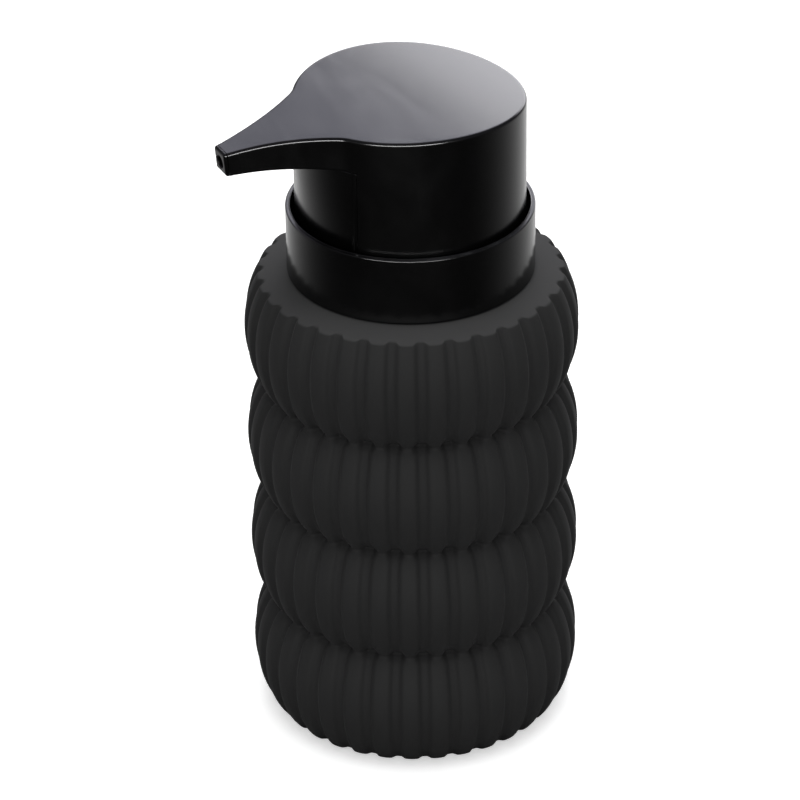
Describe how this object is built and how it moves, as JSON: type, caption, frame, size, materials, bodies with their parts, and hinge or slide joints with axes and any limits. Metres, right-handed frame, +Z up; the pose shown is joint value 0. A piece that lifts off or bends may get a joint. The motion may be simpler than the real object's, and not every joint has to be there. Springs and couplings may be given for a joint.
{
  "type": "soap pump dispenser",
  "caption": "Fluted soap bottle of stacked barrel tiers with a wide collar and a round push-down pump head drawn out into a slim arched spout.",
  "frame": {"origin": "centre of the foot pad, on the surface the bottle stands on", "axes": "+Z up along the bottle's axis, the spout points along -Y at rest"},
  "size_m": [0.08, 0.0886, 0.1653],
  "materials": {
    "bottle": "matt charcoal, soft to the touch",
    "base": "matt black",
    "foot_pad": "fine-celled foam",
    "neck": "natural moulded",
    "seal": "silicone",
    "gasket": "foamed sheet",
    "collar": "smooth black, satin gloss",
    "closure": "moulded black",
    "pump_plastic": "natural moulded",
    "clear_tube": "milky extruded tube",
    "ball_steel": "polished ball",
    "spring_steel": "drawn wire",
    "piston_plastic": "soft moulded",
    "stem_plastic": "smooth moulded",
    "head_insert": "smooth black, satin gloss",
    "nozzle": "smooth black, satin gloss",
    "head_cover": "smooth black, satin gloss"
  },
  "bodies": {
    "bottle": {"bottle_body": "bottle", "base_plate": "base", "foot_pad": "foot_pad", "neck_insert": "neck", "insert_seal": "seal"},
    "pump": {"pump_housing": "pump_plastic", "chaplet": "pump_plastic", "dip_tube": "clear_tube", "ball_cage": "pump_plastic", "neck_gasket": "gasket", "return_spring": "spring_steel"},
    "closure": {"closure": "closure", "collar": "collar"},
    "inlet_ball": {"inlet_ball": "ball_steel"},
    "piston": {"piston": "piston_plastic"},
    "head": {"valve_rod": "pump_plastic", "stem": "stem_plastic", "head_insert": "head_insert", "spout_tube": "clear_tube", "nozzle_tip": "nozzle", "head_cover": "head_cover"}
  },
  "joints": [
    {"name": "pump_lift", "type": "slide", "parent": "bottle", "child": "pump", "axis": [0, 0, 1], "range_m": [0, 0.13]},
    {"name": "closure_turn", "type": "hinge", "parent": "pump", "child": "closure", "pos_m": [0, 0, 0.12], "axis": [0, 0, 1], "continuous": true},
    {"name": "ball_lift", "type": "slide", "parent": "pump", "child": "inlet_ball", "axis": [0, 0, 1], "range_m": [0, 0.0016]},
    {"name": "press_stroke", "type": "slide", "parent": "pump", "child": "piston", "axis": [0, 0, -1], "range_m": [0, 0.012], "stiffness_N_per_m": 900, "springref_m": -0.009, "deforming": ["return_spring"]},
    {"name": "head_swivel", "type": "hinge", "parent": "piston", "child": "head", "pos_m": [0, 0, 0.15], "axis": [0, 0, 1], "continuous": true}
  ]
}
